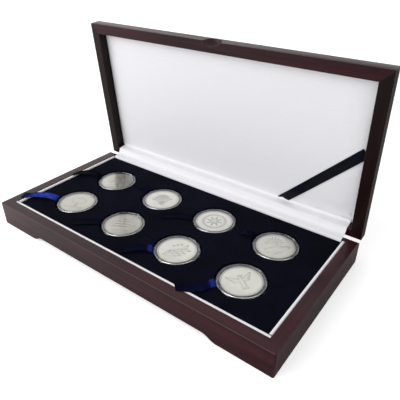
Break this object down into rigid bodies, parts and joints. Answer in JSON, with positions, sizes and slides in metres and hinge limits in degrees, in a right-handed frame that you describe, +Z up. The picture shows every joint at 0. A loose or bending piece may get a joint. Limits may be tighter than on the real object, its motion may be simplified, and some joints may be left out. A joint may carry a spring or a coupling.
{
  "type": "coin display box",
  "caption": "Hinged hardwood presentation case, open, with a satin-padded lid and a velvet insert of round coin capsules on pull ribbons.",
  "frame": {"origin": "middle of the open box's outline seen from above, on the surface that the box stands on", "axes": "+X left to right along the front, +Y from the front towards the hinges, +Z up; the lid stands open at rest"},
  "size_m": [0.344, 0.1844, 0.1933],
  "materials": {
    "mahogany": "dark mahogany, gloss lacquer",
    "velvet": "midnight blue velvet over board",
    "white_satin": "white satin",
    "ribbon": "dark blue satin ribbon",
    "brass": "polished brass",
    "card": "plain card",
    "fibreboard": "unfinished board",
    "clear_plastic": "clear acrylic",
    "coin_metal": "pale silver"
  },
  "bodies": {
    "base": {"base_front_rail": "mahogany", "base_back_rail": "mahogany", "base_left_rail": "mahogany", "base_right_rail": "mahogany", "base_panel": "mahogany", "front_lining_strip": "white_satin", "left_lining_strip": "white_satin", "right_lining_strip": "white_satin", "insert_top_board": "velvet", "insert_floor_board": "velvet", "insert_spacer": "fibreboard", "pull_ribbon_front_1": "ribbon", "pull_ribbon_front_2": "ribbon", "pull_ribbon_front_3": "ribbon", "pull_ribbon_front_4": "ribbon", "pull_ribbon_back_1": "ribbon", "pull_ribbon_back_2": "ribbon", "pull_ribbon_back_3": "ribbon", "pull_ribbon_back_4": "ribbon", "left_hinge_base_leaf": "brass", "right_hinge_base_leaf": "brass", "hinge_pins": "brass", "base_hinge_screws": "brass", "hinge_flap": "white_satin"},
    "lid": {"lid_front_rail": "mahogany", "lid_back_rail": "mahogany", "lid_left_rail": "mahogany", "lid_right_rail": "mahogany", "lid_panel": "mahogany", "lid_lining_board": "card", "lid_satin_pad": "white_satin", "certificate_ribbon": "ribbon", "left_hinge_lid_leaf": "brass", "right_hinge_lid_leaf": "brass", "lid_hinge_screws": "brass"},
    "capsule_front_1": {"capsule_base_front_1": "clear_plastic", "capsule_top_front_1": "clear_plastic", "coin_front_1": "coin_metal"},
    "capsule_front_2": {"capsule_base_front_2": "clear_plastic", "capsule_top_front_2": "clear_plastic", "coin_front_2": "coin_metal"},
    "capsule_front_3": {"capsule_base_front_3": "clear_plastic", "capsule_top_front_3": "clear_plastic", "coin_front_3": "coin_metal"},
    "capsule_front_4": {"capsule_base_front_4": "clear_plastic", "capsule_top_front_4": "clear_plastic", "coin_front_4": "coin_metal"},
    "capsule_back_1": {"capsule_base_back_1": "clear_plastic", "capsule_top_back_1": "clear_plastic", "coin_back_1": "coin_metal"},
    "capsule_back_2": {"capsule_base_back_2": "clear_plastic", "capsule_top_back_2": "clear_plastic", "coin_back_2": "coin_metal"},
    "capsule_back_3": {"capsule_base_back_3": "clear_plastic", "capsule_top_back_3": "clear_plastic", "coin_back_3": "coin_metal"},
    "capsule_back_4": {"capsule_base_back_4": "clear_plastic", "capsule_top_back_4": "clear_plastic", "coin_back_4": "coin_metal"}
  },
  "joints": [
    {"name": "lid_hinge", "type": "hinge", "parent": "base", "child": "lid", "pos_m": [0, 0.07627, 0.0243], "axis": [-1, 0, 0], "range_deg": [-85.5, 0], "deforming": ["hinge_flap", "pull_ribbon_front_1", "pull_ribbon_back_1", "pull_ribbon_front_4"]},
    {"name": "capsule_lift_front_1", "type": "slide", "parent": "base", "child": "capsule_front_1", "axis": [0, 0, 1], "range_m": [0, 0.04]},
    {"name": "capsule_lift_front_2", "type": "slide", "parent": "base", "child": "capsule_front_2", "axis": [0, 0, 1], "range_m": [0, 0.04]},
    {"name": "capsule_lift_front_3", "type": "slide", "parent": "base", "child": "capsule_front_3", "axis": [0, 0, 1], "range_m": [0, 0.04]},
    {"name": "capsule_lift_front_4", "type": "slide", "parent": "base", "child": "capsule_front_4", "axis": [0, 0, 1], "range_m": [0, 0.04]},
    {"name": "capsule_lift_back_1", "type": "slide", "parent": "base", "child": "capsule_back_1", "axis": [0, 0, 1], "range_m": [0, 0.04]},
    {"name": "capsule_lift_back_2", "type": "slide", "parent": "base", "child": "capsule_back_2", "axis": [0, 0, 1], "range_m": [0, 0.04]},
    {"name": "capsule_lift_back_3", "type": "slide", "parent": "base", "child": "capsule_back_3", "axis": [0, 0, 1], "range_m": [0, 0.04]},
    {"name": "capsule_lift_back_4", "type": "slide", "parent": "base", "child": "capsule_back_4", "axis": [0, 0, 1], "range_m": [0, 0.04]}
  ]
}
